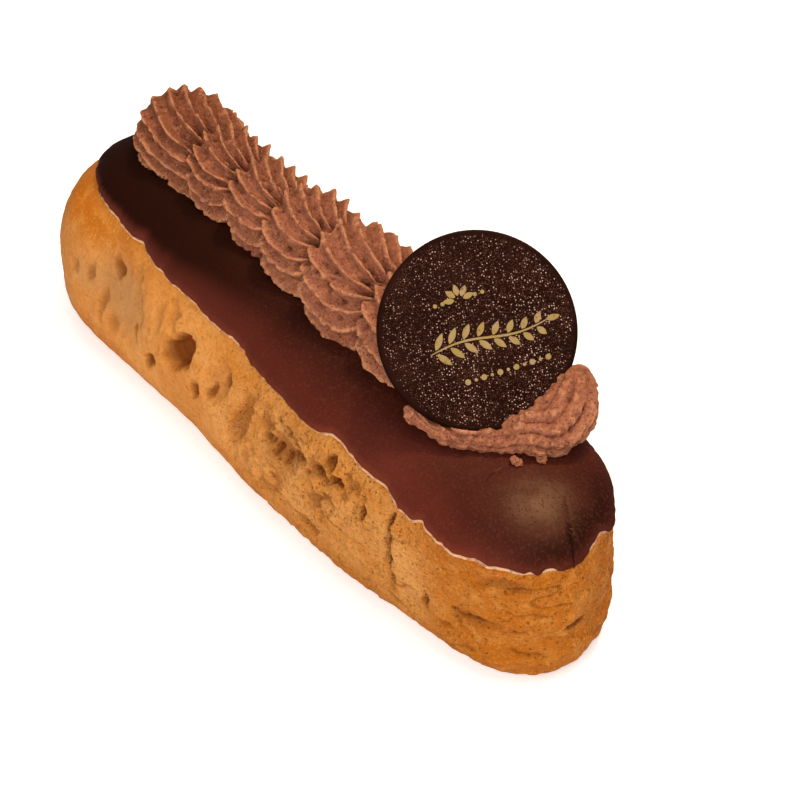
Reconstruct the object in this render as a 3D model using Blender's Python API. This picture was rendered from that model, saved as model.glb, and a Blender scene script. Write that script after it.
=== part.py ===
"""Chocolate eclair: a baked choux shell, a chocolate icing cap, a piped cream rope and a chocolate disc.

The eclair lies along X with its broad, iced end at +X, stands on Z = 0 and is centred on the origin.
Every shape is worked out from the named sizes below: the shell and the icing as rings of points round
the eclair's long middle line, the cream as a ridged tube along its rope and a roll round the disc.
"""

import bmesh
import bpy
import numpy as np
from mathutils import Matrix, Vector

MM = 0.001
GAP = 0.3 * MM
SHARP_ANGLE = 0.7

# The choux shell: its length, half widths and heights
LENGTH = 150 * MM
MIDDLE = 53.5 * MM
BELLY_LEFT = 20.6 * MM
BELLY_RIGHT = 21.3 * MM
BELLY_HEIGHT = 9.5 * MM
FOOT_ROUND = 5.8 * MM
RIM_HEIGHT = 32.0 * MM
SHOULDER_POWER = 3.0
CROWN_RISE = 4.6 * MM
CROWN_POWER = 2.5

# How far the belly tucks in towards the near end, and between which places along the shell
BELLY_END_REACH = 20 * MM
NEAR_TUCK_LEFT = 5.0 * MM
TUCK_LEFT_SPAN = (26 * MM, 62 * MM)
NEAR_TUCK_RIGHT = 1.9 * MM
TUCK_RIGHT_SPAN = (20 * MM, 70 * MM)

# The relief of the baked side. Waves: height, and pitch and start along and up the side
SIDE_WAVE = 0.5 * MM
WAVE_ALONG = (0.115 / MM, 0.8)
WAVE_UP = (0.16 / MM, 0.5)
RELIEF_FROM = 0.25
RELIEF_TO = 0.8

# Lobes and hollows in millimetres: place, height, half length, half height, and how far they stand out
FAR_LOBE = (-66, 29, 7, 6, 0.7)
HOLLOWS = (
    (-42, 17, 13, 9, -1.9),
    (-30, 17, 5, 4, -1.8),
    (-14, 22, 2.8, 9, -1.6),
    (2, 24, 6, 4, -1.3),
    (17, 18, 4.5, 4, -1.2),
    (37, 16, 2.5, 9, -1.3),
)

# The waist low on the near end
WAIST_HEIGHT = 12 * MM
WAIST_HALF = 3 * MM
WAIST_DEPTH = 1.3 * MM

# The icing: the line of its rim, measured out from the middle line, and its thickness
RIM_LEFT_FAR = 12.3 * MM
RIM_LEFT_NEAR = 16.9 * MM
RIM_RIGHT = 20.2 * MM
RIM_TUCK_RIGHT = 0.9 * MM
RIM_REACH_FAR = 13.2 * MM
RIM_REACH_NEAR = 20.0 * MM
RIM_END_REACH = 15 * MM
RIM_LEFT_SPAN = (-60 * MM, 60 * MM)
RIM_RIGHT_SPAN = (20 * MM, 60 * MM)
ICING_THICKNESS = 1.5 * MM
ICING_LIP = 0.5 * MM
LIP_ROUND = 2.4 * MM

# The waves of that rim: height, pitch along the shell, turns round it, and start
RIM_WAVES = ((0.45 * MM, 0.42 / MM, 3, 0.0), (0.27 * MM, 0.19 / MM, -5, 1.0))

# The cream rope: shells piped one over the next with a toothed tip, from the far end to the disc
ROPE_SIDE = 7.2 * MM
ROPE_HEIGHT = 40.8 * MM
ROPE_START = -62.0 * MM
ROPE_END = 49.0 * MM
ROPE_NOSE_FAR = 10 * MM
ROPE_NOSE_NEAR = 5 * MM
SHELL_STARTS = tuple(x * MM for x in (-66.0, -44.0, -31.2, -18.4, -5.0, 12.0, 27.0, 49.0))
SHELL_RADII = tuple(r * MM for r in (9.0, 7.9, 8.0, 9.3, 10.3, 10.2, 10.0))
SHELL_SWEEP = 2.6 * MM
SWEEP_TURN = 1.3
RIDGES = 20
RIDGE_DEPTH = 1.5 * MM
TWIST = 2.1 / (100 * MM)

# How a shell swells behind its start: the height of its sine, where the sine starts, how early it
# peaks, and the level it is measured from
SHELL_STEP = 2.0 * MM
SWELL_START = 0.12
SWELL_POWER = 0.75
SWELL_LEVEL = 0.45

# The disc leans on the rope's last shell
DISC_RADIUS = 17.8 * MM
DISC_THICKNESS = 2.0 * MM
DISC_EDGE = 0.35 * MM
DISC_CENTRE = Vector((35.3, 9.25, 52.0)) * MM
DISC_NORMAL = Vector((0.570, -0.295, 0.767)).normalized()
FRONT_ROOM = 25 * MM

# The cream pressed out round the foot of the disc: a swelling roll along the disc's rim, given at
# clock angles from the disc's right by its distance from the centre, its thickness and how far it
# stands in front of the disc, in millimetres
ROLL = (
    (-142, 18.6, 0.9, -1.2),
    (-128, 19.0, 1.6, -1.4),
    (-112, 19.4, 2.0, -1.5),
    (-96, 19.6, 2.3, -1.2),
    (-84, 20.2, 3.3, -0.4),
    (-74, 20.8, 4.6, 0.4),
    (-60, 21.8, 5.4, 0.6),
    (-44, 21.6, 5.2, 0.2),
    (-30, 20.0, 3.4, -0.4),
    (-20, 18.9, 1.2, -0.8),
)
ROLL_FOLDS = 3
FOLD_DEPTH = 0.09
FOLD_WIND = 14
ROLL_LIFT = 0.8 * MM

# Colours and roughness of the foods
CHOUX_LOOK = ((0.60, 0.27, 0.075), 0.62)
ICING_LOOK = ((0.062, 0.017, 0.012), 0.3)
CREAM_LOOK = ((0.40, 0.15, 0.09), 0.7)
DISC_LOOK = ((0.035, 0.014, 0.010), 0.4)

# How finely the solids are divided: steps round and along them, and where their rings lie, as shares
# of the foot's width, the side's rise, the way in over the crown and the rope's length
END_STEPS = 12
SIDE_STEPS = 24
BELLY_SHARE = 0.3
FOOT_RINGS = (0.0, 0.6)
SIDE_RINGS = (0.0, 0.1, 0.2, 0.3, 0.42, 0.54, 0.66, 0.76, 0.85, 0.93, 1.0)
CROWN_RINGS = (0.12, 0.3, 0.55, 1.0)
UNDER_RINGS = (1.0, 0.55, 0.3, 0.12, 0.0)
OVER_RINGS = (0.0, 0.015, 0.05, 0.1, 0.16, 0.26, 0.4, 0.6, 0.8, 1.0)
NOSE_RINGS = (0.0, 0.004)
NOSE_SHARE = 0.02
ROPE_STEPS = 52
DISC_STEPS = 48
ROLL_STEPS = 22
ROLL_SIDES = 14


def smooth_step(value, low, high):
    """0 below low, 1 above high and an even S between them."""
    part = np.clip((value - low) / (high - low), 0.0, 1.0)
    return part * part * (3.0 - 2.0 * part)


def hill(x, z, place, height, half_length, half_height, rise):
    """A rounded hill, or a hollow where its rise is below 0, from sizes in millimetres. It falls to about a
    third of its rise at half its length and height from its middle."""
    along, up = (x / MM - place) / half_length, (z / MM - height) / half_height
    return rise * MM * np.exp(-(along**2) - up**2)


def plan_directions():
    """Points round a long oval, as a place on the middle line and a direction out from it."""
    turn = np.linspace(-0.5, 0.5, END_STEPS, endpoint=False) * np.pi
    along = np.linspace(1.0, -1.0, SIDE_STEPS, endpoint=False)
    ones, zeros = np.ones_like(turn), np.zeros_like(along)
    near = np.stack([ones, np.cos(turn), np.sin(turn)], axis=1)
    right = np.stack([along, zeros, zeros + 1.0], axis=1)
    far = np.stack([-ones, -np.cos(turn), -np.sin(turn)], axis=1)
    left = np.stack([-along, zeros, zeros - 1.0], axis=1)
    rows = np.concatenate([near, right, far, left])
    return rows[:, 0] * MIDDLE, rows[:, 1], rows[:, 2]


def oval_radius(out_x, out_y, reach, width):
    """The distance to an ellipse with the half sizes reach and width, in the direction out."""
    return 1.0 / np.sqrt((out_x / reach) ** 2 + (out_y / width) ** 2)


def belly_radius(middle_x, out_x, out_y):
    """The shell's widest line. It tucks in towards the near end."""
    place = middle_x + BELLY_END_REACH * out_x
    left = BELLY_LEFT - NEAR_TUCK_LEFT * smooth_step(place, *TUCK_LEFT_SPAN)
    right = BELLY_RIGHT - NEAR_TUCK_RIGHT * smooth_step(place, *TUCK_RIGHT_SPAN)
    return oval_radius(out_x, out_y, LENGTH / 2 - MIDDLE, np.where(out_y < 0, left, right))


def rim_radius(middle_x, out_x, out_y):
    """The line of the icing's rim, gently waved where the chocolate ran and set."""
    place = middle_x + RIM_END_REACH * out_x
    left = RIM_LEFT_FAR + (RIM_LEFT_NEAR - RIM_LEFT_FAR) * smooth_step(place, *RIM_LEFT_SPAN)
    right = RIM_RIGHT - RIM_TUCK_RIGHT * smooth_step(place, *RIM_RIGHT_SPAN)
    reach = np.where(out_x > 0, RIM_REACH_NEAR, RIM_REACH_FAR)
    line = oval_radius(out_x, out_y, reach, np.where(out_y < 0, left, right))
    turn = np.arctan2(out_y, out_x)
    for height, pitch, turns, start in RIM_WAVES:
        line = line + height * np.sin(place * pitch + turns * turn + start)
    return line


def side_relief(x, z, out_x, out_y):
    """How far the baked side stands out or sinks in: long waves, a lobe at the far end, hollows on the left
    side and a waist low on the near end."""
    along, up = (place * pitch + start for place, (pitch, start) in ((x, WAVE_ALONG), (z, WAVE_UP)))
    relief = SIDE_WAVE * np.sin(along) * np.sin(up) + hill(x, z, *FAR_LOBE)
    left, near = np.clip(-out_y, 0.0, 1.0), np.clip(out_x, 0.0, 1.0)
    for hollow in HOLLOWS:
        relief = relief + left * hill(x, z, *hollow)
    return relief - WAIST_DEPTH * near * np.exp(-(((z - WAIST_HEIGHT) / WAIST_HALF) ** 2))


def side_point(rise, middle_x, out_x, out_y):
    """Distance out and height on the shell's side, for a rise from 0 at the foot to 1 at the rim: a quarter
    round up to the belly, then a curve that leans in."""
    belly, rim = belly_radius(middle_x, out_x, out_y), rim_radius(middle_x, out_x, out_y)
    curl = np.clip(rise / BELLY_SHARE, 0.0, 1.0) * np.pi / 2
    climb = np.clip((rise - BELLY_SHARE) / (1.0 - BELLY_SHARE), 0.0, 1.0)
    out = belly - FOOT_ROUND * (1.0 - np.sin(curl)) + (rim - belly) * climb**SHOULDER_POWER
    height = BELLY_HEIGHT * (1.0 - np.cos(curl)) + (RIM_HEIGHT - BELLY_HEIGHT) * climb
    fade = smooth_step(rise, 0.0, RELIEF_FROM) * (1.0 - smooth_step(rise, RELIEF_TO, 1.0))
    relief = side_relief(middle_x + out_x * belly, height, out_x, out_y)
    return out + fade * relief, height + 0.0 * out


def crown_point(inward, middle_x, out_x, out_y):
    """Distance out and height on the shell's top, for inward from 0 at the rim to 1 at the middle."""
    rim = rim_radius(middle_x, out_x, out_y)
    return rim * (1.0 - inward), RIM_HEIGHT + CROWN_RISE * (1.0 - (1.0 - inward) ** CROWN_POWER) + 0.0 * rim


def crown_lean(inward, plan):
    """The sine of the slope of the shell's top, away from level."""
    slope = CROWN_RISE * CROWN_POWER * (1.0 - inward) ** (CROWN_POWER - 1.0) / rim_radius(*plan)
    return slope / np.sqrt(1.0 + slope**2)


def crown_offset(inward, distance, plan):
    """A point at a set distance above the shell's top, measured square to it."""
    out, height = crown_point(inward, *plan)
    lean = crown_lean(inward, plan)
    return out + distance * lean, height + distance * np.sqrt(1.0 - lean**2)


def icing_height(x, y):
    """The height of the icing's top at a place on the plan, away from its rim."""
    beyond = np.sign(x) * np.maximum(np.abs(x) - MIDDLE, 0.0)
    out = np.maximum(np.hypot(beyond, y), 1e-9)
    plan = np.clip(x, -MIDDLE, MIDDLE), beyond / out, y / out
    depth = GAP + ICING_THICKNESS
    inward = np.clip(1.0 - out / rim_radius(*plan), 0.0, 1.0)
    inward = np.clip(1.0 - (out - depth * crown_lean(inward, plan)) / rim_radius(*plan), 0.0, 1.0)
    return crown_offset(inward, depth, plan)[1]


def ring(out, height, plan):
    """The points of one ring from its distances out and heights."""
    middle_x, out_x, out_y = plan
    return np.stack([middle_x + out_x * out, out_y * out, height + 0.0 * out], axis=1)


def make_solid(name, rings, material):
    """A closed solid skinned over rings of points in order. Its first and last rings shrink to a point or to
    a line, and are welded there."""
    rows, columns = len(rings), len(rings[0])
    mesh = bpy.data.meshes.new(name)
    faces = []
    for row in range(rows - 1):
        for column in range(columns):
            after = (column + 1) % columns
            low, high = row * columns, (row + 1) * columns
            faces.append((low + column, low + after, high + after, high + column))
    mesh.from_pydata(np.concatenate(rings).tolist(), [], faces)
    work = bmesh.new()
    work.from_mesh(mesh)
    bmesh.ops.remove_doubles(work, verts=work.verts, dist=1e-6)
    bmesh.ops.recalc_face_normals(work, faces=work.faces)
    work.to_mesh(mesh)
    work.free()
    mesh.materials.append(material)
    mesh.shade_smooth()
    mesh.set_sharp_from_angle(angle=SHARP_ANGLE)
    solid = bpy.data.objects.new(name, mesh)
    bpy.context.collection.objects.link(solid)
    return solid


def food_material(name, colour, roughness):
    """A plain food surface with its colour and shine."""
    material = bpy.data.materials.new(name)
    material.use_nodes = True
    shader = material.node_tree.nodes["Principled BSDF"]
    shader.inputs["Base Color"].default_value = (*colour, 1.0)
    shader.inputs["Roughness"].default_value = roughness
    return material


def make_choux():
    """The baked shell: a flat foot, a full belly, a shoulder up to the rim and a low crown."""
    plan = plan_directions()
    foot = belly_radius(*plan) - FOOT_ROUND
    rings = [ring(share * foot, 0.0, plan) for share in FOOT_RINGS]
    rings += [ring(*side_point(rise, *plan), plan) for rise in SIDE_RINGS]
    rings += [ring(*crown_point(inward, *plan), plan) for inward in CROWN_RINGS]
    return make_solid("choux_pastry", rings, food_material("baked_choux", *CHOUX_LOOK))


def make_icing():
    """The dipped cap: an even layer over the crown, rounded down to a thin lip at its rim."""
    plan = plan_directions()
    rings = [ring(*crown_offset(inward, GAP, plan), plan) for inward in UNDER_RINGS]
    for inward in OVER_RINGS:
        near_rim = np.clip(inward * rim_radius(*plan) / LIP_ROUND, 0.0, 1.0)
        depth = ICING_LIP + (ICING_THICKNESS - ICING_LIP) * np.sqrt(1.0 - (1.0 - near_rim) ** 2)
        rings.append(ring(*crown_offset(inward, GAP + depth, plan), plan))
    return make_solid("chocolate_icing", rings, food_material("dark_icing", *ICING_LOOK))


def shell_place(x, turn):
    """How far along its piped shell a point of the rope lies, from 0 to 1, and that shell's own radius.
    Each shell's edge is swept forwards down the rope's sides."""
    swept = x - SHELL_SWEEP * (turn / SWEEP_TURN) ** 2
    starts, radii = np.array(SHELL_STARTS), np.array(SHELL_RADII)
    number = np.clip(np.searchsorted(starts, swept, side="right") - 1, 0, len(radii) - 1)
    part = (swept - starts[number]) / (starts[number + 1] - starts[number])
    return np.clip(part, 0.0, 1.0), radii[number]


def rope_radius(x, turn, crest):
    """The rope's radius: it swells behind the start of each shell, thins to its tail, and is ridged."""
    part, body = shell_place(x, turn)
    swell = np.sin(np.pi * (SWELL_START + (1.0 - SWELL_START) * part**SWELL_POWER)) - SWELL_LEVEL
    nose = 1.0 - min((x - ROPE_START) / ROPE_NOSE_FAR, (ROPE_END - x) / ROPE_NOSE_NEAR, 1.0)
    return np.sqrt(1.0 - nose**2) * (body + SHELL_STEP * swell + RIDGE_DEPTH * (crest - 0.5))


def make_rope():
    """The piped rope, a twisted star drawn out from the tip, which rests on the icing along its underside."""
    crest = np.tile([1.0, 0.0], RIDGES)
    column = np.linspace(-np.pi, np.pi, 2 * RIDGES, endpoint=False)
    inner = np.linspace(NOSE_SHARE, 1.0 - NOSE_SHARE, ROPE_STEPS)
    rings = []
    for part in np.concatenate([NOSE_RINGS, inner, 1.0 - np.array(NOSE_RINGS)[::-1]]):
        x = ROPE_START + (ROPE_END - ROPE_START) * part
        turn = (column - TWIST * (x - ROPE_START) + np.pi) % (2 * np.pi) - np.pi
        radius = rope_radius(x, turn, crest)
        y = ROPE_SIDE + radius * np.sin(turn)
        z = ROPE_HEIGHT + radius * np.cos(turn)
        rings.append(np.stack([0.0 * turn + x, y, np.maximum(z, icing_height(x, y) + GAP)], axis=1))
    return make_solid("piped_cream", rings, food_material("chocolate_cream", *CREAM_LOOK))


def disc_axes():
    """The disc's own right, up and face directions."""
    right = Vector((0, 0, 1)).cross(DISC_NORMAL).normalized()
    return np.array(right), np.array(DISC_NORMAL.cross(right)), np.array(DISC_NORMAL)


def make_roll():
    """The cream pressed out by the disc: a round profile carried along the disc's rim, with soft folds."""
    right, up, face = disc_axes()
    angles, outs, sizes, fronts = np.transpose(ROLL)
    turn = np.linspace(0.0, 2 * np.pi, ROLL_SIDES, endpoint=False)
    rings = []
    for step in np.linspace(0.0, 1.0, ROLL_STEPS):
        angle = angles[0] + (angles[-1] - angles[0]) * step
        out, size, front = (np.interp(angle, angles, values) * MM for values in (outs, sizes, fronts))
        folded = 1.0 + FOLD_DEPTH * np.sin(ROLL_FOLDS * turn + FOLD_WIND * step)
        thick = size * folded * (step not in (0.0, 1.0))
        away = right * np.cos(np.radians(angle)) + up * np.sin(np.radians(angle))
        centre = np.array(DISC_CENTRE) + away * out + face * front
        points = centre + np.outer(thick * np.cos(turn), away) + np.outer(thick * np.sin(turn), face)
        floor = icing_height(points[:, 0], points[:, 1]) + ROLL_LIFT
        rings.append(np.stack([points[:, 0], points[:, 1], np.maximum(points[:, 2], floor)], axis=1))
    return make_solid("pressed_roll", rings, None)


def make_disc(name, material, grow=0.0, clear=0.0):
    """A round disc with softened edges. Grow widens it to the room that the cream leaves round it, and
    clear deepens that room in front of its face."""
    low, high, radius = -DISC_THICKNESS / 2 - grow, DISC_THICKNESS / 2 + grow + clear, DISC_RADIUS + grow
    profile = [(0.0, low), (0.5 * radius, low), (radius - DISC_EDGE, low), (radius, low + DISC_EDGE)]
    profile += [(radius, high - DISC_EDGE), (radius - DISC_EDGE, high), (0.5 * radius, high), (0.0, high)]
    turn = np.linspace(0.0, 2 * np.pi, DISC_STEPS, endpoint=False)
    rings = [np.stack([out * np.cos(turn), out * np.sin(turn), 0.0 * turn + z], axis=1) for out, z in profile]
    disc = make_solid(name, rings, material)
    lean = DISC_NORMAL.to_track_quat("Z", "Y").to_matrix().to_4x4()
    disc.data.transform(Matrix.Translation(DISC_CENTRE) @ lean)
    return disc


def join(body, tool, operation):
    """A Boolean on the body. The tool stays in the file as a hidden outline."""
    cut = body.modifiers.new(f"{operation.lower()}_{tool.name}", "BOOLEAN")
    cut.operation = operation
    cut.object = tool
    tool.hide_render = True
    tool.display_type = "WIRE"


def centre_on_origin():
    """Moves every mesh so that the finished eclair's box stands centred on the origin, with its foot at 0."""
    view = bpy.context.evaluated_depsgraph_get()
    shown = [thing.evaluated_get(view) for thing in bpy.data.objects if not thing.hide_render]
    corners = np.array([corner[:] for thing in shown for corner in thing.bound_box])
    low, high = corners.min(axis=0), corners.max(axis=0)
    move = Vector((-(low[0] + high[0]) / 2, -(low[1] + high[1]) / 2, -low[2]))
    for thing in bpy.data.objects:
        thing.data.transform(Matrix.Translation(move))


def main():
    for old in list(bpy.data.objects):
        bpy.data.objects.remove(old, do_unlink=True)
    make_choux()
    make_icing()
    make_disc("chocolate_disc", food_material("dark_chocolate", *DISC_LOOK))
    cream = make_rope()
    join(cream, make_disc("front_room", None, grow=GAP / 2, clear=FRONT_ROOM), "DIFFERENCE")
    join(cream, make_roll(), "UNION")
    join(cream, make_disc("disc_room", None, grow=GAP), "DIFFERENCE")
    centre_on_origin()


main()
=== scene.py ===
import bmesh
import bpy
import numpy as np
from mathutils import Matrix, Vector


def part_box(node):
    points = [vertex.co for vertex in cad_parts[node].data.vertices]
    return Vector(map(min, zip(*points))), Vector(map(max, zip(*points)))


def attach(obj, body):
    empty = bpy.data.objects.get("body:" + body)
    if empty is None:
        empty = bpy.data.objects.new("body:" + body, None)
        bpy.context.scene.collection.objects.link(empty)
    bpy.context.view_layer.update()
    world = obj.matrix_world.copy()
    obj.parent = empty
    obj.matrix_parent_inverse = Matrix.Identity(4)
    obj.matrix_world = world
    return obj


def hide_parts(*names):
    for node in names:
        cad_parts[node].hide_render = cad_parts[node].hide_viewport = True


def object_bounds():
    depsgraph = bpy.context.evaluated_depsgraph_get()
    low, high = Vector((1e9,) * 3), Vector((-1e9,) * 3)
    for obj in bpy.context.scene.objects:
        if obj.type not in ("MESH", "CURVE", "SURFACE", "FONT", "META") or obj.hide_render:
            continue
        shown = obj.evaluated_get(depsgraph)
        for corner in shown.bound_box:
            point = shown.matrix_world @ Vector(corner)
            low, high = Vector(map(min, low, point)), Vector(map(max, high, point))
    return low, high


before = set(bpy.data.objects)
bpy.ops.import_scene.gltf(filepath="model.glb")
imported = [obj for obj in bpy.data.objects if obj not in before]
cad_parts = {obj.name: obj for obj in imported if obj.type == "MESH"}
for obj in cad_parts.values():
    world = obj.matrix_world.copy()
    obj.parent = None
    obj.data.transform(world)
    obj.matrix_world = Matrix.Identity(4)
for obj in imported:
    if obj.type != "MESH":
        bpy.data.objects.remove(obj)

cad_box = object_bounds()


# ---- The choux shell -------------------------------------------------------------------------
# A thick finger of choux paste, piped and baked until it rose: a flat foot, a full belly and a low crown.
# The oven tore and blistered its sides and left them golden; the brown in their hollows, cracks and creases is partly
# the crust's own browning and partly painted shade.

MM = 0.001

# Where the eclair's own middle line runs, from the place of the disc that leans 9.25 mm right of it
DISC_CENTRE = np.array([35.3, 9.25, 52.0])
HOME = np.array([(low + high) / 2 / MM for low, high in zip(*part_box("chocolate_disc"))]) - DISC_CENTRE

# Sizes in millimetres, on the middle line's own axes
LENGTH, MIDDLE = 150.0, 53.5
BELLY_LEFT, BELLY_RIGHT = 20.6, 21.3
NEAR_TUCK_LEFT, NEAR_TUCK_RIGHT = 5.0, 1.9
BELLY_HEIGHT, FOOT_ROUND = 9.5, 5.8
RIM_HEIGHT, SHOULDER_POWER = 32.0, 3.0
CROWN_RISE, CROWN_POWER = 4.6, 2.5
RIM_LEFT_FAR, RIM_LEFT_NEAR, RIM_RIGHT = 12.3, 16.9, 20.2
RIM_TUCK_RIGHT, RIM_REACH_FAR, RIM_REACH_NEAR = 0.9, 13.2, 20.0
END_ROUND = 21.0

# Hollows in the left side and near end, where steam burst the paste: place along the side, height, half length,
# half height, tilt in degrees, depth, sharpness of the edge, and how brown the inside is, partly its own browning and
# partly painted shade
HOLLOWS = (
    (-40.5, 21.0, 8.5, 7.5, -25, 1.5, 3.0, 0.10),
    (-36.2, 24.6, 1.4, 5.0, 25, 0.6, 2.5, 0.12),
    (-19.6, 22.3, 5.2, 2.9, 52, 2.9, 4.5, 0.95),
    (-55.4, 20.3, 1.2, 1.7, 0, 0.6, 2.5, 0.30),
    (-50.4, 21.0, 1.0, 2.3, 0, 0.8, 2.5, 0.40),
    (-44.2, 25.6, 1.2, 2.4, 10, 1.0, 3.0, 0.55),
    (-46.1, 16.0, 0.9, 4.0, 0, 0.6, 2.0, 0.40),
    (-42.1, 13.4, 1.3, 1.8, 0, 0.5, 2.0, 0.25),
    (-35.1, 16.4, 1.1, 1.6, 0, 0.8, 3.0, 0.60),
    (-28.6, 13.5, 2.6, 1.2, 60, 1.0, 3.0, 0.80),
    (-27.4, 25.0, 1.4, 3.0, 0, 0.5, 2.0, 0.20),
    (-23.4, 27.0, 1.2, 4.0, 35, 0.7, 2.5, 0.25),
    (-13.4, 17.6, 2.6, 1.1, 65, 0.8, 3.0, 0.75),
    (-7.6, 23.6, 3.4, 4.6, -10, 1.2, 3.5, 0.16),
    (-5.5, 25.6, 0.8, 2.4, -15, 0.7, 3.0, 0.55),
    (-8.8, 20.6, 0.9, 1.8, 0, 0.6, 3.0, 0.50),
    (0.3, 19.0, 1.9, 8.6, -14, 2.0, 3.0, 0.40),
    (13.0, 24.0, 6.5, 4.2, -14, 1.0, 3.0, 0.12),
    (10.8, 27.1, 1.0, 0.8, 0, 1.6, 3.0, 0.85),
    (13.8, 26.6, 1.1, 0.7, -30, 1.3, 3.0, 0.75),
    (16.3, 25.7, 1.3, 0.9, -20, 1.6, 3.0, 0.90),
    (9.5, 22.0, 1.6, 1.0, 30, 0.6, 2.5, 0.35),
    (19.0, 24.4, 1.5, 1.0, 10, 0.9, 3.0, 0.50),
    (24.4, 25.6, 1.7, 1.1, 20, 0.9, 3.0, 0.45),
    (26.6, 29.0, 1.5, 1.3, 0, 2.6, 5.0, 0.95),
    (29.8, 27.4, 1.7, 0.8, 20, 1.9, 4.0, 0.85),
    (37.3, 25.3, 0.9, 1.7, 0, 1.5, 4.0, 0.80),
    (36.9, 28.2, 0.4, 1.4, 8, 0.6, 2.0, 0.40),
    (22.9, 10.9, 2.2, 1.6, 0, 0.9, 2.5, 0.50),
    (43.7, 28.4, 0.9, 1.5, -12, 1.9, 3.0, 0.90),
    (52.5, 13.3, 0.8, 2.3, 8, 1.1, 3.0, 0.70),
    (65.5, 15.6, 6.0, 1.6, -2, 0.7, 2.5, 0.35),
    (74.8, 15.6, 1.0, 0.9, 0, 0.7, 3.0, 0.60),
    (85.6, 16.4, 1.8, 1.3, 0, 0.5, 3.0, 0.95),
    (72.5, 28.0, 4.2, 1.7, 0, 0.3, 3.0, 0.38),
    (67.0, 26.5, 2.4, 1.0, 30, 0.3, 2.5, 0.30),
)

# All of them have edges this much sharper, are this much deeper and this much browner
SHARPEN, DEEPEN, BROWNER = 1.5, 1.3, 1.35

# Cracks in the crust: the points they pass, their half width, their depth, and their brownness, partly the crust's own
# and partly painted shade
CRACKS = (
    (((28.9, 31.6), (31.0, 30.4), (33.9, 27.6)), 0.45, 0.9, 0.55),
    (((37.0, 31.2), (38.6, 30.6)), 0.30, 0.5, 0.45),
    (((43.7, 28.6), (43.9, 22.1), (43.7, 18.0), (44.1, 15.1), (45.2, 10.2)), 0.60, 2.2, 1.0),
    (((4.6, 16.4), (5.6, 15.2), (7.9, 14.1)), 0.30, 0.5, 0.50),
    (((59.7, 15.9), (63.0, 15.2), (66.0, 15.8), (69.8, 15.4)), 0.40, 0.8, 0.60),
    (((72.4, 20.9), (75.0, 20.2), (78.0, 20.8), (81.2, 20.0)), 0.30, 0.5, 0.45),
    (((74.2, 11.2), (77.0, 9.4), (80.4, 8.5)), 0.32, 0.6, 0.55),
    (((-21.9, 26.0), (-20.4, 24.0)), 0.35, 0.5, 0.30),
)

# Welts and flaps that stand out: place along the side, height, half length, half height, tilt, rise
WELTS = (
    (45.6, 20.5, 1.5, 8.0, 0, 0.7),
    (28.7, 30.3, 0.5, 1.8, 0, 1.1),
    (-24.0, 18.3, 2.6, 1.5, 52, 0.5),
    (77.0, 18.2, 5.5, 1.7, -3, 0.45),
    (11.5, 20.0, 6.0, 2.2, -12, 0.5),
    (33.5, 22.0, 3.0, 4.5, 10, 0.4),
    (-66.0, 28.0, 6.5, 4.0, 0, 0.6),
)

# Patches where the crust tore open, and broad shallow dents given a greyish painted shade, with how strong it is:
# place, height, half sizes, tilt
TORN = ((14.0, 24.5, 9.0, 5.5, -14), (28.0, 23.0, 7.5, 7.5, 0), (9.0, 14.0, 6.0, 4.0, 0))
DENT_SHADE = ((1.0, (-41.0, 21.5, 8.0, 7.0, -25)), (0.6, (-52.0, 20.0, 5.0, 4.0, 0)))


def smooth_step(value, low, high):
    """0 below low, 1 above high and an even S between them."""
    part = np.clip((value - low) / (high - low), 0.0, 1.0)
    return part * part * (3.0 - 2.0 * part)


def uneven(points, size, seed):
    """A soft random field from -1 to 1. Each corner of a cubic lattice has its own value, mixed from its
    whole-number place, and a point takes a smooth blend of the eight corners round it."""
    cell = points / size
    corner = np.floor(cell).astype(np.int64)
    part = cell - corner
    part = part * part * (3.0 - 2.0 * part)
    total = np.zeros(points.shape[:-1])
    for step in np.ndindex(2, 2, 2):
        x, y, z = np.moveaxis(corner + np.array(step) + 4096, -1, 0)
        mixed = (x * 73856093) ^ (y * 19349663) ^ (z * 83492791) ^ (seed * 668265263)
        mixed = ((mixed ^ (mixed >> 13)) * 1274126177) & 0xFFFFFFFF
        mixed = (mixed ^ (mixed >> 16)) & 0xFFFF
        weight = np.prod(np.where(step, part, 1.0 - part), axis=-1)
        total = total + weight * (mixed / 32767.5 - 1.0)
    return total


def plan_directions(near_steps, right_steps, far_steps, left_steps):
    """Points round a long oval, from the near end's left by its right and the far end back to the left: a
    place on the middle line, and a direction out from it."""
    turn = np.linspace(-0.5, 0.5, near_steps, endpoint=False) * np.pi
    back = np.linspace(-0.5, 0.5, far_steps, endpoint=False) * np.pi
    right_along = np.linspace(1.0, -1.0, right_steps, endpoint=False)
    left_along = np.linspace(1.0, -1.0, left_steps, endpoint=False)
    near = np.stack([np.ones_like(turn), np.cos(turn), np.sin(turn)], axis=1)
    right = np.stack([right_along, 0.0 * right_along, 0.0 * right_along + 1.0], axis=1)
    far = np.stack([-np.ones_like(back), -np.cos(back), -np.sin(back)], axis=1)
    left = np.stack([-left_along, 0.0 * left_along, 0.0 * left_along - 1.0], axis=1)
    rows = np.concatenate([near, right, far, left])
    return rows[:, 0] * MIDDLE, rows[:, 1], rows[:, 2]


def oval_radius(out_x, out_y, reach, width):
    """The distance to an ellipse with the half sizes reach and width, in the direction out."""
    return 1.0 / np.sqrt((out_x / reach) ** 2 + (out_y / width) ** 2)


def belly_radius(middle_x, out_x, out_y):
    """The shell's widest line: an oval that tucks in towards the near end."""
    place = middle_x + 20.0 * out_x
    left = BELLY_LEFT - NEAR_TUCK_LEFT * smooth_step(place, 26.0, 62.0)
    right = BELLY_RIGHT - NEAR_TUCK_RIGHT * smooth_step(place, 20.0, 70.0)
    return oval_radius(out_x, out_y, LENGTH / 2 - MIDDLE, np.where(out_y < 0, left, right))


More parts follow.
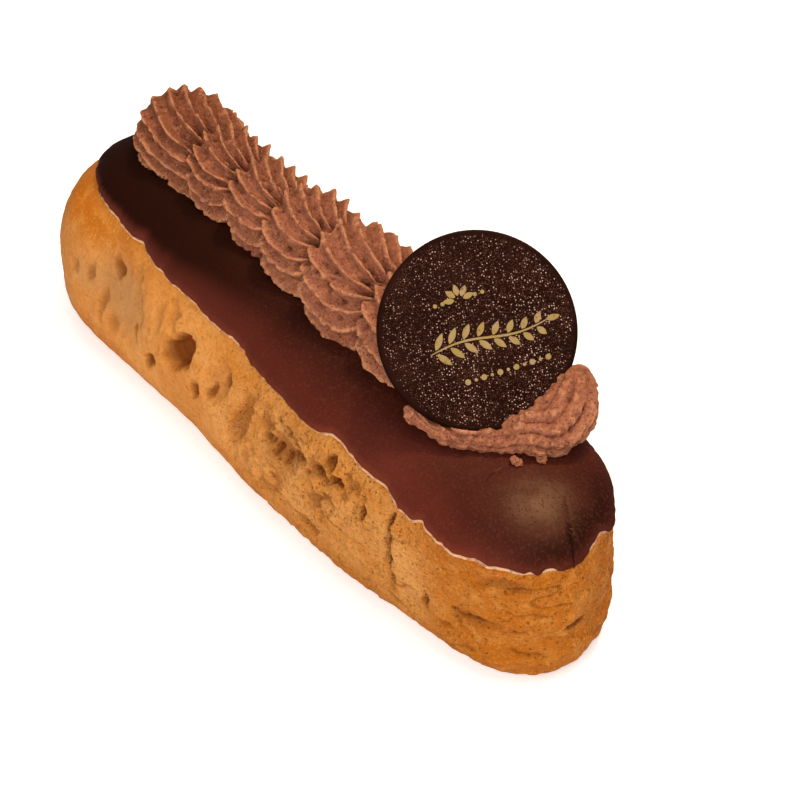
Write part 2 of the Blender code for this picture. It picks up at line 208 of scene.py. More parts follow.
def rim_radius(middle_x, out_x, out_y):
    """The shoulder, where the side turns into the crown: an oval that widens towards the near end."""
    place = middle_x + 15.0 * out_x
    left = RIM_LEFT_FAR + (RIM_LEFT_NEAR - RIM_LEFT_FAR) * smooth_step(place, -60.0, 60.0)
    right = RIM_RIGHT - RIM_TUCK_RIGHT * smooth_step(place, 20.0, 60.0)
    reach = np.where(out_x > 0, RIM_REACH_NEAR, RIM_REACH_FAR)
    return oval_radius(out_x, out_y, reach, np.where(out_y < 0, left, right))


def side_point(rise, middle_x, out_x, out_y):
    """The side's profile for a rise from 0 at the foot to 1 at the shoulder, as a distance out and a height:
    a quarter round up to the belly, then a line that leans in with the cube of its height."""
    belly, rim = belly_radius(middle_x, out_x, out_y), rim_radius(middle_x, out_x, out_y)
    split = 0.3
    curl = np.clip(rise / split, 0.0, 1.0) * np.pi / 2
    climb = np.clip((rise - split) / (1.0 - split), 0.0, 1.0)
    out = belly - FOOT_ROUND * (1.0 - np.sin(curl)) + (rim - belly) * climb**SHOULDER_POWER
    return out, BELLY_HEIGHT * (1.0 - np.cos(curl)) + (RIM_HEIGHT - BELLY_HEIGHT) * climb + 0.0 * out


def crown_point(inward, middle_x, out_x, out_y):
    """The crown's profile for inward from 0 at the shoulder to 1 at the middle: it rises by a power law."""
    rim = rim_radius(middle_x, out_x, out_y)
    return rim * (1.0 - inward), RIM_HEIGHT + CROWN_RISE * (1.0 - (1.0 - inward) ** CROWN_POWER) + 0.0 * rim


def on_plan(out, height, plan):
    """Points in space from distances out and heights, for each column of the plan."""
    middle_x, out_x, out_y = plan
    return np.stack([middle_x + out_x * out, out_y * out, height + 0.0 * out], axis=-1)


def outward(points):
    """The unit normals of a grid whose columns wrap round, from its neighbours' differences."""
    across = np.roll(points, -1, axis=1) - np.roll(points, 1, axis=1)
    up = np.gradient(points, axis=0)
    normal = np.cross(across, up)
    return normal / np.maximum(np.linalg.norm(normal, axis=-1, keepdims=True), 1e-9)


def left_share(out_y):
    """1 on the left side and round the near end's middle, and 0 on the right side."""
    return smooth_step(-out_y, -0.75, -0.35)


def oval_dip(along, height, place, level, half_length, half_height, tilt, sharpness):
    """1 in the middle of a tilted oval and 0 outside it: the falling exponential of the oval's own
    distance raised to a sharpness."""
    cos, sin = np.cos(np.radians(tilt)), np.sin(np.radians(tilt))
    length = ((along - place) * cos + (height - level) * sin) / half_length
    width = ((height - level) * cos - (along - place) * sin) / half_height
    return np.exp(-(np.hypot(length, width) ** sharpness))


def line_dip(along, height, stops, half_width):
    """1 on a broken line through the stops, and a bell curve of the distance from it, thinner at its ends."""
    nearest, share, done = 1e9 + 0.0 * along, 0.0 * along, 0.0
    spans = [np.hypot(b[0] - a[0], b[1] - a[1]) for a, b in zip(stops[:-1], stops[1:])]
    for (ax, az), (bx, bz), span in zip(stops[:-1], stops[1:], spans):
        part = np.clip(((along - ax) * (bx - ax) + (height - az) * (bz - az)) / span**2, 0.0, 1.0)
        distance = np.hypot(along - ax - part * (bx - ax), height - az - part * (bz - az))
        share = np.where(distance < nearest, (done + part * span) / sum(spans), share)
        nearest = np.minimum(nearest, distance)
        done += span
    taper = 0.35 + 0.65 * np.sin(np.pi * np.clip(share, 0.0, 1.0)) ** 0.5
    return np.exp(-((nearest / (half_width * taper)) ** 2))


def baked_relief(points, plan):
    """How far the side stands out, and how brown it is painted: broad lobes, the hollows, cracks and welts of
    the left side and near end, like ones strewn over the right side, and a fine uneven crust. The brown is partly the
    crust's own browning and partly painted shade in the hollows, cracks, creases and the dips of torn patches. Also how
    deeply the crust tanned: more at the near end, along the foot and under the shoulder, and a greyish painted shade
    in the broad shallow dents."""
    middle_x, out_x, out_y = plan
    height = points[..., 2] + 0.9 * uneven(points, 2.4, 5) + 0.35 * uneven(points, 0.9, 6)
    shake = 0.9 * uneven(points, 2.4, 7) + 0.35 * uneven(points, 0.9, 8)
    left = middle_x + END_ROUND * np.arctan2(out_x, -out_y) + shake
    right = middle_x + END_ROUND * np.arctan2(out_x, out_y) + shake
    relief = 0.5 * np.sin(points[..., 0] * 0.115 + 0.8) * np.sin(points[..., 2] * 0.16 + 0.5)
    relief = relief - 1.3 * np.clip(out_x, 0.0, 1.0) * np.exp(-(((height - 12.0) / 3.0) ** 2))
    left_side, right_side = left_share(out_y), smooth_step(out_y, -0.35, 0.1)
    brown = np.zeros_like(relief)
    for place, level, long, tall, tilt, depth, sharpness, brown_and_shade in HOLLOWS:
        dip = left_side * oval_dip(left, height, place, level, long, tall, tilt, SHARPEN * sharpness)
        relief = relief - DEEPEN * depth * dip
        # Brown inside each hollow: partly the crust's own browning, partly painted shade in the hollow
        brown = brown + BROWNER * brown_and_shade * dip
    for stops, width, depth, brown_and_shade in CRACKS:
        dip = left_side * line_dip(left, height, stops, width)
        relief = relief - depth * dip
        # Brown along each crack: partly the crust's own browning, partly painted shade in the crack
        brown = brown + brown_and_shade * dip
    for place, level, long, tall, tilt, rise in WELTS:
        relief = relief + rise * left_side * oval_dip(left, height, place, level, long, tall, tilt, 2.5)
    strewn = np.random.default_rng(11)
    for place, level, size, depth in zip(
        strewn.uniform(-80, 45, 34), strewn.uniform(8, 29, 34), strewn.uniform(0.6, 2.6, 34), strewn.uniform(0.3, 1.0, 34)
    ):
        dip = right_side * oval_dip(right, height, place, level, size, size * 1.3, 20.0, 2.8)
        relief = relief - depth * dip
        # Painted shade in the right side's hollows, browner the deeper they are
        brown = brown + 0.5 * depth * dip
    coarse = smooth_step(points[..., 0], -15.0, 20.0)
    torn = left_side * sum(oval_dip(left, height, *patch, 3.0) for patch in TORN)
    lumps = uneven(points, 1.7, 1)
    relief = relief + (0.12 + 0.14 * coarse + 0.55 * torn) * lumps
    relief = relief + (0.05 + 0.12 * coarse + 0.34 * torn) * uneven(points, 0.8, 2)
    relief = relief + 0.25 * uneven(points, 5.5, 3)
    # Painted shade in the dips of the torn patches
    brown = brown + 0.7 * torn * smooth_step(-lumps, 0.1, 0.6)
    wrinkle = 1.0 - smooth_step(np.abs(uneven(points * (0.7, 0.7, 1.5), 4.0, 9)), 0.02, 0.11)
    wrinkle = wrinkle * coarse * smooth_step(uneven(points, 6.0, 10), -0.1, 0.3)
    relief = relief - 0.38 * wrinkle
    # Painted shade in the wrinkles' creases
    brown = brown + 0.5 * wrinkle
    tan = smooth_step(points[..., 0], 46.0, 64.0) + 0.6 * smooth_step(-points[..., 2], -13.0, -4.0)
    shoulder = smooth_step(points[..., 2], 24.0, 30.0)
    tan = tan + (0.25 + 0.6 * smooth_step(-points[..., 0], 25.0, 50.0)) * shoulder + 0.30 * uneven(points, 7.0, 4)
    # Greyish painted shade in the broad shallow dents
    dent_shade_share = sum(share * oval_dip(left, height, *patch, 3.0) for share, patch in DENT_SHADE)
    return relief, np.clip(brown, 0.0, 1.0), np.clip(tan, 0.0, 1.0), np.clip(dent_shade_share, 0.0, 1.0)


def make_piece(name, points, material, marks=None):
    """A closed skin over a grid of points in millimetres on the eclair's own axes. Columns wrap round, and
    the first and last rows are welded where they meet, at a pole or along a line. Marks are named values."""
    rows, columns = points.shape[:2]
    index = np.arange(rows * columns).reshape(rows, columns)
    after = np.roll(index, -1, axis=1)
    faces = np.stack([index[:-1], after[:-1], after[1:], index[1:]], axis=-1).reshape(-1, 4)
    mesh = bpy.data.meshes.new(name)
    mesh.from_pydata(((points + HOME) * MM).reshape(-1, 3), [], faces)
    for name_of_mark, values in (marks or {}).items():
        kind, field, size = ("FLOAT_VECTOR", "vector", (3,)) if np.ndim(values) == 3 else ("FLOAT", "value", ())
        layer = mesh.attributes.new(name_of_mark, kind, "POINT")
        layer.data.foreach_set(field, np.broadcast_to(values, (rows, columns, *size)).astype(np.float32).ravel())
    work = bmesh.new()
    work.from_mesh(mesh)
    work.verts.ensure_lookup_table()
    ends = work.verts[:columns] + work.verts[-columns:]
    bmesh.ops.remove_doubles(work, verts=ends, dist=1e-6)
    bmesh.ops.recalc_face_normals(work, faces=work.faces)
    work.to_mesh(mesh)
    work.free()
    mesh.shade_smooth()
    piece = bpy.data.objects.new(name, mesh)
    bpy.context.scene.collection.objects.link(piece)
    if material:
        mesh.materials.append(material)
    return piece


def put(tree, socket, value):
    """Links a socket to another node's output, or sets it to a value."""
    if isinstance(value, bpy.types.NodeSocket):
        tree.links.new(value, socket)
    else:
        socket.default_value = value


def add(tree, kind, inputs, **settings):
    """A node with its settings, and its named inputs linked or set."""
    node = tree.nodes.new(kind)
    for name, value in settings.items():
        setattr(node, name, value)
    for name, value in inputs.items():
        put(tree, node.inputs[name], value)
    return node


def finish_of(name, roughness, specular):
    """A material with its Principled shader's shine set, its node tree, and its place on the piece."""
    material = bpy.data.materials.new(name)
    material.use_nodes = True
    tree = material.node_tree
    shader = tree.nodes["Principled BSDF"]
    shader.inputs["Roughness"].default_value = roughness
    shader.inputs["Specular IOR Level"].default_value = specular
    place = add(tree, "ShaderNodeTexCoord", {}).outputs["Object"]
    return material, tree, shader, place


def cloud(tree, place, size, detail=2.0):
    """Soft noise from 0 to 1 whose lumps are about size millimetres across."""
    inputs = {"Vector": place, "Scale": 1000.0 / size, "Detail": detail}
    return add(tree, "ShaderNodeTexNoise", inputs).outputs["Fac"]


def ramp(tree, value, low, high, start=0.0, end=1.0):
    """The value's run from low to high, stretched smoothly to start and end."""
    inputs = {"Value": value, "From Min": low, "From Max": high, "To Min": start, "To Max": end}
    return add(tree, "ShaderNodeMapRange", inputs, interpolation_type="SMOOTHSTEP").outputs["Result"]


def times(tree, first, second):
    """The product of two values."""
    node = tree.nodes.new("ShaderNodeMath")
    node.operation = "MULTIPLY"
    put(tree, node.inputs[0], first)
    put(tree, node.inputs[1], second)
    return node.outputs[0]


def blend(tree, share, first, second, mode="MIX"):
    """A colour that goes from the first to the second as share goes from 0 to 1."""
    node = tree.nodes.new("ShaderNodeMix")
    node.data_type, node.blend_type = "RGBA", mode
    for socket, value in zip((node.inputs[0], node.inputs[6], node.inputs[7]), (share, first, second)):
        put(tree, socket, value if isinstance(value, (float, bpy.types.NodeSocket)) else (*value, 1.0))
    return node.outputs[2]


def dots(tree, place, size, reach, share, space="3D"):
    """Scattered round dots: 1 at the middle of a cell about size millimetres across and 0 past reach of it,
    in that share of the cells."""
    inputs = {"Vector": place, "Scale": 1000.0 / size}
    cells = add(tree, "ShaderNodeTexVoronoi", inputs, voronoi_dimensions=space)
    near = ramp(tree, cells.outputs["Distance"], reach, 0.4 * reach)
    chosen = add(tree, "ShaderNodeSeparateColor", {"Color": cells.outputs["Color"]}).outputs["Red"]
    return times(tree, near, ramp(tree, chosen, 1.0 - share, 1.02 - share))


def mark(tree, name):
    """A value stored at each point of the piece."""
    return add(tree, "ShaderNodeAttribute", {}, attribute_name=name).outputs["Fac"]


def relieve(tree, shader, height, reach):
    """Bumps the shader's surface by a height from 0 to 1, over reach millimetres."""
    inputs = {"Height": height, "Strength": 1.0, "Distance": reach * MM}
    tree.links.new(add(tree, "ShaderNodeBump", inputs).outputs["Normal"], shader.inputs["Normal"])


def baked_choux():
    """Golden crust, mottled paler and browner, brown in its hollows, cracks and creases, partly the crust's own
    browning and partly painted shade, with a greyish painted shade in its broad shallow dents, and finely grained.
    """
    material, tree, shader, place = finish_of("baked_choux", 0.62, 0.1)
    shader.inputs["Specular Tint"].default_value = (1.0, 0.65, 0.3, 1.0)
    colour = blend(tree, ramp(tree, cloud(tree, place, 14.0, 3.0), 0.35, 0.68), (0.62, 0.275, 0.075), (0.52, 0.200, 0.040))
    along = add(tree, "ShaderNodeSeparateXYZ", {"Vector": place}).outputs["X"]
    colour = blend(tree, ramp(tree, along, -0.022, -0.045, 0.0, 0.75), colour, (0.47, 0.165, 0.030))
    colour = blend(tree, times(tree, mark(tree, "tanned"), 0.85), colour, (0.40, 0.108, 0.007))
    colour = blend(tree, ramp(tree, cloud(tree, place, 3.2, 3.0), 0.45, 0.75, 0.0, 0.5), colour, (0.60, 0.27, 0.075))
    colour = blend(tree, ramp(tree, cloud(tree, place, 1.5, 3.0), 0.5, 0.78, 0.0, 0.5), colour, (0.33, 0.100, 0.012))
    colour = blend(tree, ramp(tree, cloud(tree, place, 0.6, 2.0), 0.52, 0.75, 0.0, 0.55), colour, (0.62, 0.27, 0.07))
    colour = blend(tree, ramp(tree, cloud(tree, place, 0.5, 2.0), 0.50, 0.30, 0.0, 0.35), colour, (0.28, 0.085, 0.010))
    colour = blend(tree, times(tree, mark(tree, "tanned"), 0.7), colour, (1.0, 0.93, 0.55), "MULTIPLY")
    # Greyish painted shade in the broad shallow dents
    colour = blend(tree, times(tree, mark(tree, "dent_shade"), 0.6), colour, (0.40, 0.215, 0.085))
    # Brown in hollows, cracks and creases: partly the crust's own browning, partly painted shade
    colour = blend(tree, mark(tree, "browned_and_shaded"), colour, (0.17, 0.043, 0.007))
    coarse = ramp(tree, along, -0.03, 0.03, 0.15, 1.0)
    pores = times(tree, dots(tree, place, 0.8, 0.32, 0.4), coarse)
    colour = blend(tree, times(tree, pores, 0.3), colour, (0.20, 0.065, 0.012))
    tree.links.new(colour, shader.inputs["Base Color"])
    shader.inputs["Subsurface Weight"].default_value = 0.1
    shader.inputs["Subsurface Radius"].default_value = (1.0, 0.45, 0.15)
    shader.inputs["Subsurface Scale"].default_value = 0.8 * MM
    grain = times(tree, cloud(tree, place, 0.8, 5.0), coarse)
    grit = add(tree, "ShaderNodeMath", {0: grain, 1: times(tree, pores, 0.5)}, operation="SUBTRACT")
    relieve(tree, shader, grit.outputs[0], 1.15)
    return material


shell_plan = plan_directions(150, 210, 100, 320)
WALL_ROWS = 118
wall_rise = np.linspace(0.0, 1.0, WALL_ROWS)[:, None]
wall = on_plan(*side_point(wall_rise, *shell_plan), shell_plan)
stand_out, browned_and_shaded, tanned, dent_shade = baked_relief(wall, shell_plan)
fade = smooth_step(wall_rise, 0.0, 0.2) * (1.0 - smooth_step(wall_rise, 0.9, 1.0))
wall = wall + outward(wall) * (fade * stand_out)[..., None]
wall[..., 2] = np.maximum(wall[..., 2], 0.0)
crown_in = np.array([0.06, 0.14, 0.3, 0.55, 1.0])[:, None]
crown = on_plan(*crown_point(crown_in, *shell_plan), shell_plan)
foot_share = np.array([0.0, 0.5, 0.8])[:, None]
foot = on_plan(foot_share * (belly_radius(*shell_plan) - FOOT_ROUND), 0.0, shell_plan)
plain_foot, plain_crown = np.zeros((len(foot), wall.shape[1])), np.zeros((len(crown), wall.shape[1]))
choux = make_piece(
    "choux_shell",
    np.concatenate([foot, wall, crown]),
    baked_choux(),
    {
        "browned_and_shaded": np.concatenate([plain_foot, browned_and_shaded * fade, plain_crown]),
        "tanned": np.concatenate([plain_foot + 1.0, tanned, plain_crown + 1.0]),
        "dent_shade": np.concatenate([plain_foot, dent_shade, plain_crown]),
    },
)
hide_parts("choux_pastry")
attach(choux, "root")


# ---- The icing -------------------------------------------------------------------------------
# A thin cap of dark chocolate icing. The shell was dipped in it upside down, and the icing ran a little past the
# shoulder here and there and set with a thin rim.
# The red glow of light through that rim is painted into the icing's colour, with a painted highlight along its edge,
# and painted shade darkens the icing away from the rim.

ICING_THICKNESS, ICING_LIP, LIP_ROUND, SEAT = 1.8, 0.2, 3.0, 0.2
SIDE_SPAN = 36.0

# How far the icing ran past the shoulder, or stopped short of it: place along the left side, run
RUNS = (
    (-120, 0.2), (-100, -0.3), (-85, 0.2), (-72, -0.9), (-66, -1.3), (-60, -1.0), (-53, -0.7), (-46, -0.2),
    (-43, 0.0), (-39.6, -0.5), (-37.8, 0.3), (-29.5, 0.8), (-20, 0.4), (-13.6, 0.6), (-5.7, -0.2), (-1, 0.5),
    (4, 1.0), (10, 0.8), (16, 1.1), (21.5, 0.7), (24.5, -0.9), (27.5, -1.1), (33, -0.4), (40, -1.0),
    (45.7, -0.1), (49.4, -0.1), (50.2, -1.4), (52, -0.5), (62, -0.3), (66.3, -0.8), (69, -0.2), (72, -0.7),
    (75, -0.1), (78, 0.2), (80.5, -0.4), (82.5, 0.7), (86, 0.6), (90, -0.2), (93.5, -0.6), (95.5, 0.7), (110, 0.1),
)

RUN_BLUR = (-0.8, -0.4, 0.0, 0.4, 0.8)

# Cracks in the set icing: points on the plan, half width, depth, and how dark the painted shade in them is
ICING_CRACKS = (
    (((64.4, 4.7), (67.6, 2.9), (69.4, 1.5)), 0.11, 0.06, 0.9),
    (((69.0, 1.8), (70.6, 0.5), (72.4, -0.4), (74.3, -1.7)), 0.20, 0.6, 1.0),
    (((54.6, 1.4), (53.6, -0.6), (53.3, -2.8), (54.0, -4.6), (55.6, -6.0)), 0.11, 0.04, 0.6),
)

# Where painted shade turns the icing near black: place along, how far from the rim, and how black
SHADE_POOLS = (
    (-55, 1.6, 1.0), (-40, 2.6, 1.0), (-25, 5.0, 0.97), (0, 10.0, 0.86), (20, 12.0, 0.74), (45, 12.0, 0.44),
    (58, 6.0, 0.50), (68, 3.5, 0.68),
)

# How strongly the painted red glow of light through the thin rim shows, strongest on the left side: place along the
# left side and on round the near end, strength
GLOWS = ((-64, 0.0), (-48, 0.35), (-25, 0.8), (0, 1.0), (62, 1.0), (72, 0.55), (80, 0.3), (100, 0.2), (118, 0.0))

# Painted shade darkens a band along the rim at the near end: the band's place on that same line, its
# half length, its distance from the rim, its half width, and how black it is
BAND_PLACE, BAND_HALF, BAND_INSET, BAND_WIDTH, BAND_DEPTH = 91.0, 19.0, 3.0, 4.2, 0.95

# Where air bubbles broke in the icing: place on the plan and reach
BUBBLED = ((22.0, -12.0, 7.5), (40.0, -11.0, 6.0))


def skin_point(inset, plan):
    """The shell's outline measured along its skin from the shoulder, as a distance out and a height: over the
    crown where inset is positive, and down the side where it is negative."""
    rim = rim_radius(*plan)
    over = crown_point(np.clip(inset / rim, 0.0, 1.0), *plan)
    down = side_point(1.0 + np.minimum(inset, 0.0) / SIDE_SPAN, *plan)
    return np.where(inset > 0, over[0], down[0]), np.where(inset > 0, over[1], down[1])


def above_skin(inset, distance, plan):
    """A point a set distance off the shell's skin, square to it. The slope comes from two points close by."""
    step = 0.15
    out, height = skin_point(inset, plan)
    fore, back = skin_point(inset + step, plan), skin_point(inset - step, plan)
    lean, rise = fore[1] - back[1], back[0] - fore[0]
    size = np.maximum(np.hypot(lean, rise), 1e-9)
    return out + distance * lean / size, height + distance * rise / size


def icing_run(plan):
    """The icing's rim against the shoulder: the runs of the left side, smoothed between their places, small
    scallops, and on the right side gentle waves."""
    middle_x, out_x, out_y = plan
    along = middle_x + END_ROUND * np.arctan2(out_x, -out_y)
    spots = np.stack([middle_x + 20.0 * out_x, 20.0 * out_y, 0.0 * out_y], axis=-1)
    scallops = 0.16 * uneven(spots, 2.4, 21) + 0.15 * uneven(spots, 1.1, 22)
    waves = 0.45 * np.sin(0.42 * middle_x + 4.0 * out_x) + 0.3 * np.sin(0.19 * middle_x + 1.0)
    seen = smooth_step(-out_y, -0.75, -0.35)
    places, runs = np.transpose(RUNS)
    run = sum(np.interp(along + step, places, runs) for step in RUN_BLUR) / len(RUN_BLUR)
    return seen * run + (1.0 - seen) * waves + scallops


def icing_height(x, y):
    """The height of the icing's top at a place on the plan, well inside its rim: the crown's height straight
    below, and the thickness over the cosine of its slope."""
    beyond = np.sign(x) * np.maximum(np.abs(x) - MIDDLE, 0.0)
    out = np.maximum(np.hypot(beyond, y), 1e-6)
    plan = np.clip(x, -MIDDLE, MIDDLE), beyond / out, y / out
    rim = rim_radius(*plan)
    share = np.clip(out / rim, 0.0, 1.0)
    slope = CROWN_RISE * CROWN_POWER * share ** (CROWN_POWER - 1.0) / rim
    return crown_point(1.0 - share, *plan)[1] + ICING_THICKNESS * np.sqrt(1.0 + slope**2)


def dark_icing():
    """Dark brown icing with a soft gloss. Painted shade turns it near black deeper in from its rim, most at the far
    end, and in a band along the near end's rim. At its rim a thin pale line, a painted highlight, then a painted red
    glow of light through the thin icing, strongest on the left side, that fades inwards."""
    material, tree, shader, place = finish_of("dark_icing", 0.36, 0.2)
    from_rim = mark(tree, "from_rim")
    shade = ramp(tree, cloud(tree, place, 22.0), 0.35, 0.7)
    thin = blend(tree, shade, (0.074, 0.0132, 0.0082), (0.092, 0.0168, 0.011))
    # Painted shade, carried in the mark thick: near black deeper in from the rim and in the near end's band
    colour = blend(tree, mark(tree, "thick"), thin, (0.014, 0.0032, 0.0018))
    # A painted red glow of light through the thin icing near the rim, strongest on the left side
    colour = blend(tree, times(tree, mark(tree, "glowing"), 0.62), colour, (0.16, 0.024, 0.008))
    # A thin pale line along the rim: a painted highlight on the icing's edge
    line = times(tree, ramp(tree, from_rim, 0.35, 0.29), ramp(tree, mark(tree, "glowing"), 0.0, 0.2))
    line = times(tree, line, ramp(tree, cloud(tree, place, 1.4), 0.35, 0.55, 0.45, 1.0))
    colour = blend(tree, line, colour, (0.60, 0.34, 0.20))
    grainy = ramp(tree, add(tree, "ShaderNodeSeparateXYZ", {"Vector": place}).outputs["X"], -0.03, 0.02, 0.0, 0.22)
    grains = times(tree, ramp(tree, cloud(tree, place, 0.5), 0.5, 0.7), grainy)
    colour = blend(tree, grains, colour, (0.14, 0.038, 0.026))
    # Painted shade in the icing's cracks, near black
    colour = blend(tree, mark(tree, "crack_shade"), colour, (0.006, 0.002, 0.0015))
    # The broken bubbles' pits are dented by the bump and darkened with painted shade
    bubbles = times(tree, dots(tree, place, 1.1, 0.26, 0.35), mark(tree, "bubbled"))
    colour = blend(tree, times(tree, bubbles, 0.6), colour, (0.02, 0.006, 0.004))
    flecks = times(tree, dots(tree, place, 1.1, 0.12, 0.3), mark(tree, "bubbled"))
    colour = blend(tree, times(tree, flecks, 0.5), colour, (0.35, 0.12, 0.06))
    tree.links.new(colour, shader.inputs["Base Color"])
    shader.inputs["Specular Tint"].default_value = (1.0, 0.72, 0.48, 1.0)
    pits = times(tree, dots(tree, place, 0.45, 0.3, 0.4), 0.8)
    grain = add(tree, "ShaderNodeMath", {0: cloud(tree, place, 2.5, 4.0), 1: pits}, operation="SUBTRACT").outputs[0]
    height = add(tree, "ShaderNodeMath", {0: grain, 1: times(tree, bubbles, 2.0)}, operation="SUBTRACT")
    relieve(tree, shader, height.outputs[0], 0.06)
    return material


icing_plan = plan_directions(300, 250, 120, 340)
icing_rim = rim_radius(*icing_plan)
icing_reach = icing_rim + icing_run(icing_plan)
under_in = np.array([1.0, 0.6, 0.3, 0.1, 0.03])[:, None] * icing_rim
under = on_plan(*above_skin(under_in, -SEAT, icing_plan), icing_plan)
rim_inset = icing_rim - icing_reach
lip_turn = np.linspace(0.0, 1.0, 6)[:, None]
lip_rise = -SEAT + (ICING_LIP + SEAT) * lip_turn
lip = on_plan(*above_skin(rim_inset - 0.28 * np.sin(np.pi * lip_turn**0.8), lip_rise, icing_plan), icing_plan)
over_share = np.concatenate([np.linspace(0.004, 0.03, 6), np.linspace(0.045, 1.0, 46)])[:, None]
from_rim = over_share * icing_reach
lip_round = np.sqrt(1.0 - (1.0 - np.clip(from_rim / LIP_ROUND, 0.0, 1.0)) ** 2)
over_rise = ICING_LIP + (ICING_THICKNESS - ICING_LIP) * lip_round
over = on_plan(*above_skin(rim_inset + from_rim, over_rise, icing_plan), icing_plan)
crack_shade = np.zeros(over.shape[:2])
for stops, width, depth, dark in ICING_CRACKS:
    dip = line_dip(over[..., 0] + 0.25 * uneven(over, 1.2, 23), over[..., 1], stops, width)
    over[..., 2] -= depth * dip
    crack_shade = np.maximum(crack_shade, dark * dip)
over[..., 2] += (0.12 * uneven(over, 9.0, 24) + 0.05 * uneven(over, 3.5, 25)) * smooth_step(from_rim, 0.5, 4.0)
bubbled = sum(np.exp(-(np.hypot(over[..., 0] - x, over[..., 1] - y) / reach) ** 2) for x, y, reach in BUBBLED)
pool_places, pool_reaches, pool_depths = np.transpose(SHADE_POOLS)
on_left = left_share(icing_plan[2])
# Painted shade, stored as the mark thick: it grows from the rim inwards, blackest towards the far end, and fills a band
# along the near end's rim
thick = smooth_step(from_rim, 0.4, np.interp(over[..., 0], pool_places, pool_reaches))
thick = thick * np.interp(over[..., 0], pool_places, pool_depths)
round_left = icing_plan[0] + END_ROUND * np.arctan2(icing_plan[1], -icing_plan[2])
band = np.exp(-(((round_left - BAND_PLACE) / BAND_HALF) ** 4) - ((from_rim - BAND_INSET) / BAND_WIDTH) ** 2)
thick = np.maximum(thick, BAND_DEPTH * band * np.maximum(on_left, smooth_step(icing_plan[1], 0.0, 0.3)))
before = np.zeros((len(under) + len(lip), len(icing_rim)))
# The painted red glow: strongest along the left side, fading inwards from the rim
glowing = on_left * np.interp(round_left, *np.transpose(GLOWS)) * (1.0 - smooth_step(from_rim, 0.3, 1.4))
rim_glow = on_left * np.interp(round_left, *np.transpose(GLOWS)) + before[: len(lip)]
rim_marks = np.concatenate([before[: len(under)] + 9.0, 0.25 * lip_turn + before[: len(lip)], 0.25 + from_rim])
icing = make_piece(
    "icing_cap",
    np.concatenate([under, lip, over]),
    dark_icing(),
    {
        "from_rim": rim_marks,
        "thick": np.concatenate([before, thick]),
        "glowing": np.concatenate([before[: len(under)], rim_glow, glowing]),
        "crack_shade": np.concatenate([before, crack_shade]),
        "bubbled": np.concatenate([before, bubbled]),
    },
)
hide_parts("chocolate_icing")
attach(icing, "root")


# ---- The piped cream -------------------------------------------------------------------------
# Chocolate cream piped through a toothed tip in one rope of overlapping shells along the top. The disc was
# pushed into its last shell, which squeezed out a folded roll round the disc's foot.

ROPE_SIDE, ROPE_HEIGHT, ROPE_START, ROPE_END = 7.2, 40.8, -62.0, 49.0
ROPE_NOSE_FAR, ROPE_NOSE_NEAR = 10.0, 5.0
SHELL_STARTS = (-66.0, -44.0, -31.2, -18.4, -5.0, 12.0, 27.0, 49.0)
SHELL_RADII = (9.0, 7.9, 8.0, 9.3, 10.3, 10.2, 10.0)
SHELL_SWEEP = 0.0005
SHELL_DROP, SHELL_HEAD, HEAD_STEP, HEAD_EASE = 2.2, 2.8, 2.6, 1.2
RIDGES, RIDGE_DEPTH, RIDGE_SET, PINCH = 17, 2.5, 1.0, 2.8
CREST_ROUND = 0.26

# Air holes in the cream: their number, and the least and most of their place, turn, reach and depth
HOLES, HOLE_RANGES = 520, ((-60.0, -110.0, 0.25, 0.2), (47.0, 110.0, 0.75, 1.1))

# Deep notches between the tail of one shell and the head of the next: place along the rope, turn in degrees
NOTCHES = (
    (-63.4, -47), (-44.4, -26), (-44.2, -42), (-32.3, -21), (-30.9, -37), (-19.6, -6), (-17.4, -30), (-7.9, -2),
    (-6.5, 12), (-4.9, -8), (-3.0, -26), (10.4, 8), (11.4, -9), (9.7, -22), (12.6, -29), (5.2, -48),
)
NOTCH_REACH, NOTCH_DEPTH = 0.9, 1.8

# The ridges swing down the left side and hook back at a shell's tail, and on the right they drift across to the
# left: degrees per shell, the share of the hook, and the turns between which the swing gives way to the drift
SWING, HOOK, DRIFT, DRIFT_FROM, DRIFT_TO = 35.0, 0.8, 50.0, -60.0, 50.0

# How far the ridges draw together in a shell, and how far they fan out across the first one, from which part
# of it to which
DRAW, FAN, FAN_FROM, FAN_TO = 0.10, 42.0, 0.16, 0.95

DISC_RADIUS, DISC_THICKNESS, DISC_EDGE = 17.8, 2.0, 0.35
DISC_NORMAL = np.array([0.570, -0.295, 0.767]) / np.linalg.norm([0.570, -0.295, 0.767])
DISC_RIGHT = np.cross([0.0, 0.0, 1.0], DISC_NORMAL) / np.linalg.norm(np.cross([0.0, 0.0, 1.0], DISC_NORMAL))
DISC_UP = np.cross(DISC_NORMAL, DISC_RIGHT)
CLEAR = 0.1

# The roll round the disc's foot: clock angle from the disc's right, distance from its centre, thickness,
# and how far it stands in front of the disc
ROLL = (
    (-143, 18.5, 0.8, -1.2),
    (-128, 18.9, 1.3, -1.4),
    (-112, 19.2, 1.9, -0.9),
    (-96, 19.4, 2.4, -0.6),
    (-84, 20.0, 3.2, -0.2),
    (-74, 20.6, 4.4, 0.4),
    (-60, 21.4, 5.1, 0.6),
    (-44, 21.0, 4.8, 0.2),
    (-34, 20.0, 3.6, -0.3),
    (-26, 19.6, 2.5, -0.6),
)


